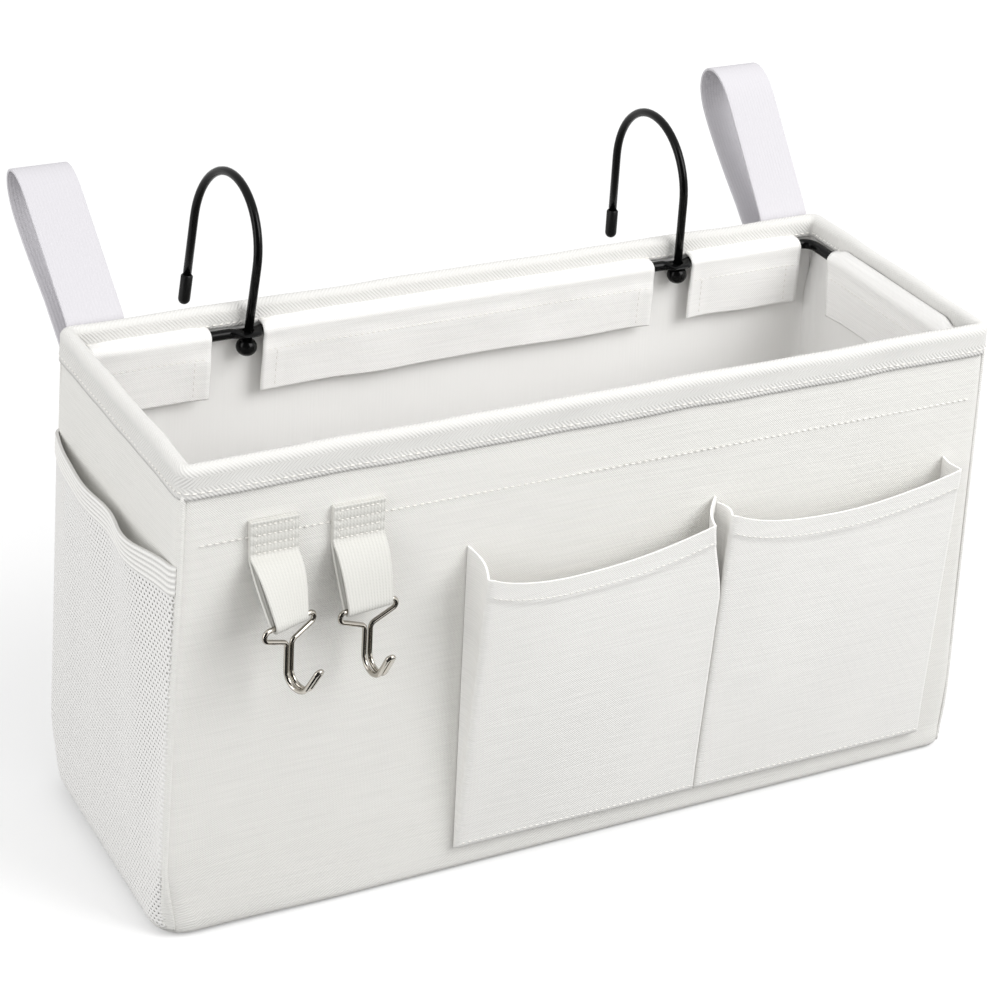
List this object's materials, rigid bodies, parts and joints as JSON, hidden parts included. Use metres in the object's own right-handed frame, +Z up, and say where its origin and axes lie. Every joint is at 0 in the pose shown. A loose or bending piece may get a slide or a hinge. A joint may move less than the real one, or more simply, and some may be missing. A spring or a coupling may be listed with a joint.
{
  "type": "bedside caddy",
  "caption": "Open rectangular canvas caddy on a wire frame, with rail hooks and strap loops behind, pockets and small hanging hooks in front and a mesh pocket at each end.",
  "frame": {"origin": "on the floor at the middle of the base", "axes": "+X along the length to the right as seen from the front, +Y from front to back, +Z up"},
  "size_m": [0.4086, 0.2485, 0.2846],
  "materials": {
    "canvas": "plain-woven cotton-like canvas, off-white, matte",
    "lining": "smooth close-woven lining, off-white, matte",
    "binding": "herringbone tape, off-white, matte",
    "board": "stiff polypropylene sheet, pale grey",
    "black_wire": "steel wire with a glossy black coating",
    "rubber": "soft black moulded tip",
    "strap_webbing": "smooth nylon webbing, cool white, slight sheen",
    "tab_webbing": "ribbed cotton webbing, warm white",
    "nickel": "bright nickel-plated steel wire",
    "net": "fine knitted mesh, off-white",
    "elastic": "ribbed woven elastic, off-white"
  },
  "bodies": {
    "tub": {"outer_front_panel": "canvas", "front_board": "board", "lining_front": "lining", "outer_back_panel": "canvas", "back_board": "board", "lining_back": "lining", "outer_left_panel": "canvas", "left_board": "board", "lining_left": "lining", "outer_right_panel": "canvas", "right_board": "board", "lining_right": "lining", "outer_base_panel": "canvas", "base_board": "board", "lining_base": "lining", "rim_binding": "binding", "wire_frame": "black_wire", "casing_flap_left": "canvas", "casing_flap_middle": "canvas", "casing_flap_right": "canvas", "casing_band_front": "canvas", "casing_band_left": "canvas", "casing_band_right": "canvas", "strap_end_left": "strap_webbing", "tab_end_left": "tab_webbing", "front_pocket_left": "canvas", "side_mesh_left": "net", "side_elastic_left": "elastic", "strap_end_right": "strap_webbing", "tab_end_right": "tab_webbing", "front_pocket_right": "canvas", "side_mesh_right": "net", "side_elastic_right": "elastic"},
    "rail_hook_left": {"rail_hook_left": "black_wire", "hook_head_left": "black_wire", "hook_tip_left": "rubber"},
    "strap_left": {"strap_left": "strap_webbing"},
    "tab_left": {"tab_loop_left": "tab_webbing"},
    "accessory_hook_left": {"accessory_hook_left": "nickel"},
    "rail_hook_right": {"rail_hook_right": "black_wire", "hook_head_right": "black_wire", "hook_tip_right": "rubber"},
    "strap_right": {"strap_right": "strap_webbing"},
    "tab_right": {"tab_loop_right": "tab_webbing"},
    "accessory_hook_right": {"accessory_hook_right": "nickel"}
  },
  "joints": [
    {"name": "rail_hook_left_swivel", "type": "hinge", "parent": "tub", "child": "rail_hook_left", "pos_m": [-0.10957, 0.0609, 0.21102], "axis": [0.1219, 0, 0.9925], "range_deg": [-78, 46]},
    {"name": "rail_hook_right_swivel", "type": "hinge", "parent": "tub", "child": "rail_hook_right", "pos_m": [0.10927, 0.0609, 0.2135], "axis": [0, 0, 1], "range_deg": [-48, 75]},
    {"name": "strap_left_bend", "type": "hinge", "parent": "tub", "child": "strap_left", "pos_m": [-0.175, 0.0739, 0.20175], "axis": [-1, 0, 0], "range_deg": [0, 110]},
    {"name": "strap_right_bend", "type": "hinge", "parent": "tub", "child": "strap_right", "pos_m": [0.175, 0.0739, 0.20175], "axis": [-1, 0, 0], "range_deg": [0, 110]},
    {"name": "tab_left_bend", "type": "hinge", "parent": "tub", "child": "tab_left", "pos_m": [-0.154, -0.0737, 0.18125], "axis": [-1, 0, 0], "range_deg": [-6, 80]},
    {"name": "tab_right_bend", "type": "hinge", "parent": "tub", "child": "tab_right", "pos_m": [-0.117, -0.0737, 0.18125], "axis": [-1, 0, 0], "range_deg": [-4, 80]},
    {"name": "accessory_hook_left_swing", "type": "hinge", "parent": "tab_left", "child": "accessory_hook_left", "pos_m": [-0.154, -0.08949, 0.15894], "axis": [-0.9397, -0.342, 0], "range_deg": [-20, 110]},
    {"name": "accessory_hook_right_swing", "type": "hinge", "parent": "tab_right", "child": "accessory_hook_right", "pos_m": [-0.117, -0.08452, 0.15583], "axis": [-0.9903, -0.1392, 0], "range_deg": [-16, 110]}
  ]
}
